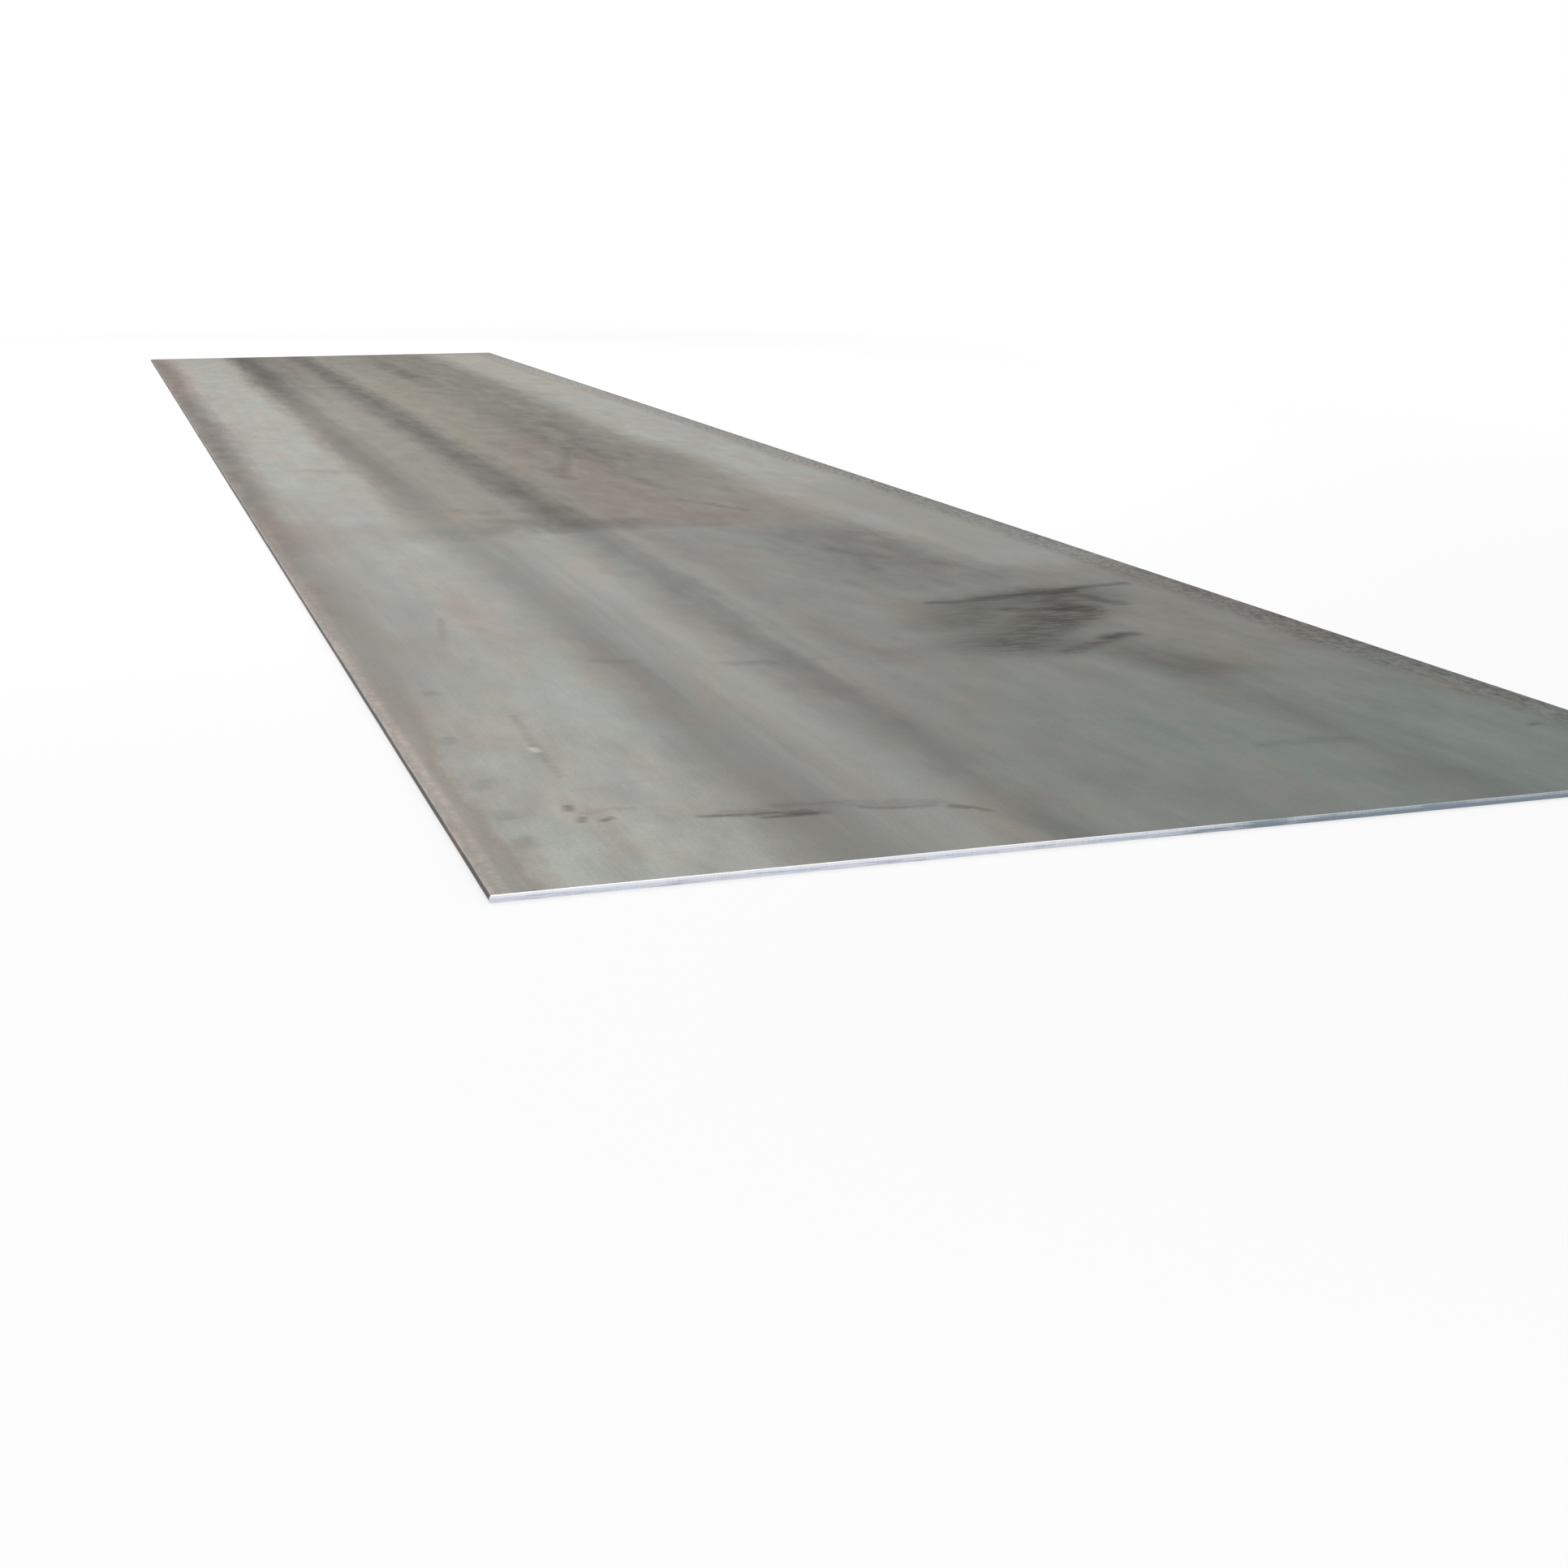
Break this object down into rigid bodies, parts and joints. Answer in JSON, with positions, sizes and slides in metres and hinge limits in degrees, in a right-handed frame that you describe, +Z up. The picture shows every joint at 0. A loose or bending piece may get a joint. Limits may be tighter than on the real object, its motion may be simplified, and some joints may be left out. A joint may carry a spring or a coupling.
{
  "type": "steel plate",
  "caption": "Flat hot-rolled steel plate with rounded mill edges along both long sides and sheared ends.",
  "frame": {"origin": "middle of the underside, which is the bottom centre of the box", "axes": "+X along the rolling direction to the leading end, the end nearest in the picture; +Y across the plate; +Z up out of the top face"},
  "size_m": [8, 1.5, 0.008],
  "materials": {
    "mill_scale": "grey mill scale with streaks along the rolling direction, light rust near the edges, bright sheared ends"
  },
  "bodies": {
    "root": {"steel_plate": "mill_scale"}
  },
  "joints": []
}
